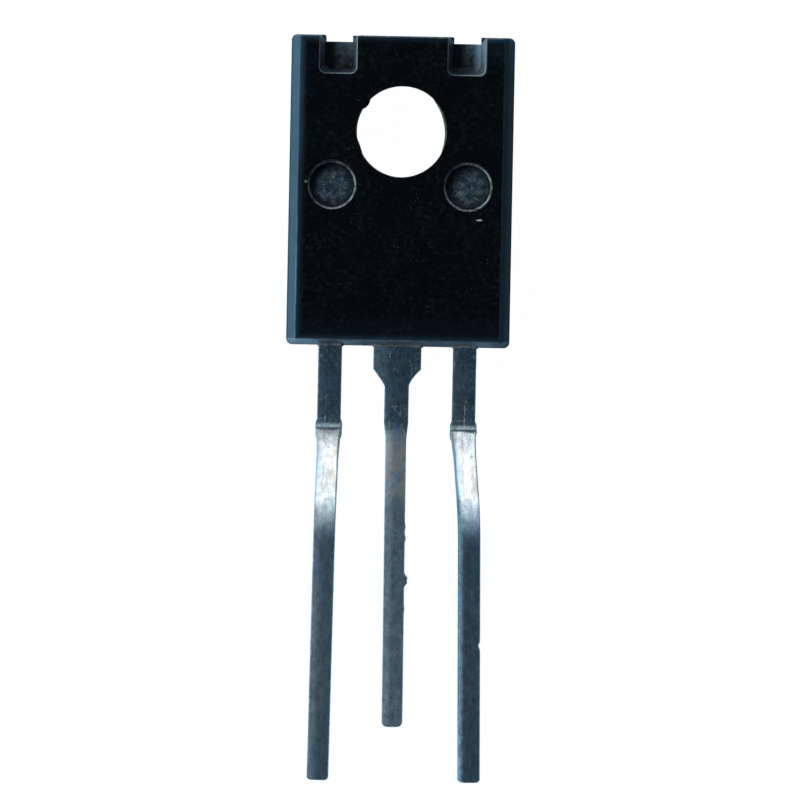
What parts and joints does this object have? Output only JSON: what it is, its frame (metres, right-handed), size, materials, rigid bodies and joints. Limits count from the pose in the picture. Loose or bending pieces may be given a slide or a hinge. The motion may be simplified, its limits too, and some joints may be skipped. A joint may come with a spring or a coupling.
{
  "type": "power transistor",
  "caption": "Power transistor in a flat black moulded case with a screw hole through it, a bare metal back, and flat tinned leads at one end, the outer ones bent forward.",
  "frame": {"origin": "on the screw hole's axis, in the plane of the metal back", "axes": "+Z out of the front face along the screw hole, +Y towards the end with the hole and notches, the leads run to -Y, +X to the right seen from the front"},
  "size_m": [0.0076, 0.0253, 0.0037],
  "materials": {
    "moulding": "satin",
    "tinned_copper": "satin",
    "solder": "matte",
    "silicon": "gloss",
    "bond_wire": "satin"
  },
  "bodies": {
    "root": {"moulded_case": "moulding", "collector_frame": "tinned_copper", "emitter_lead": "tinned_copper", "base_lead": "tinned_copper", "die_solder": "solder", "silicon_die": "silicon", "emitter_wire": "bond_wire", "base_wire": "bond_wire"}
  },
  "joints": []
}
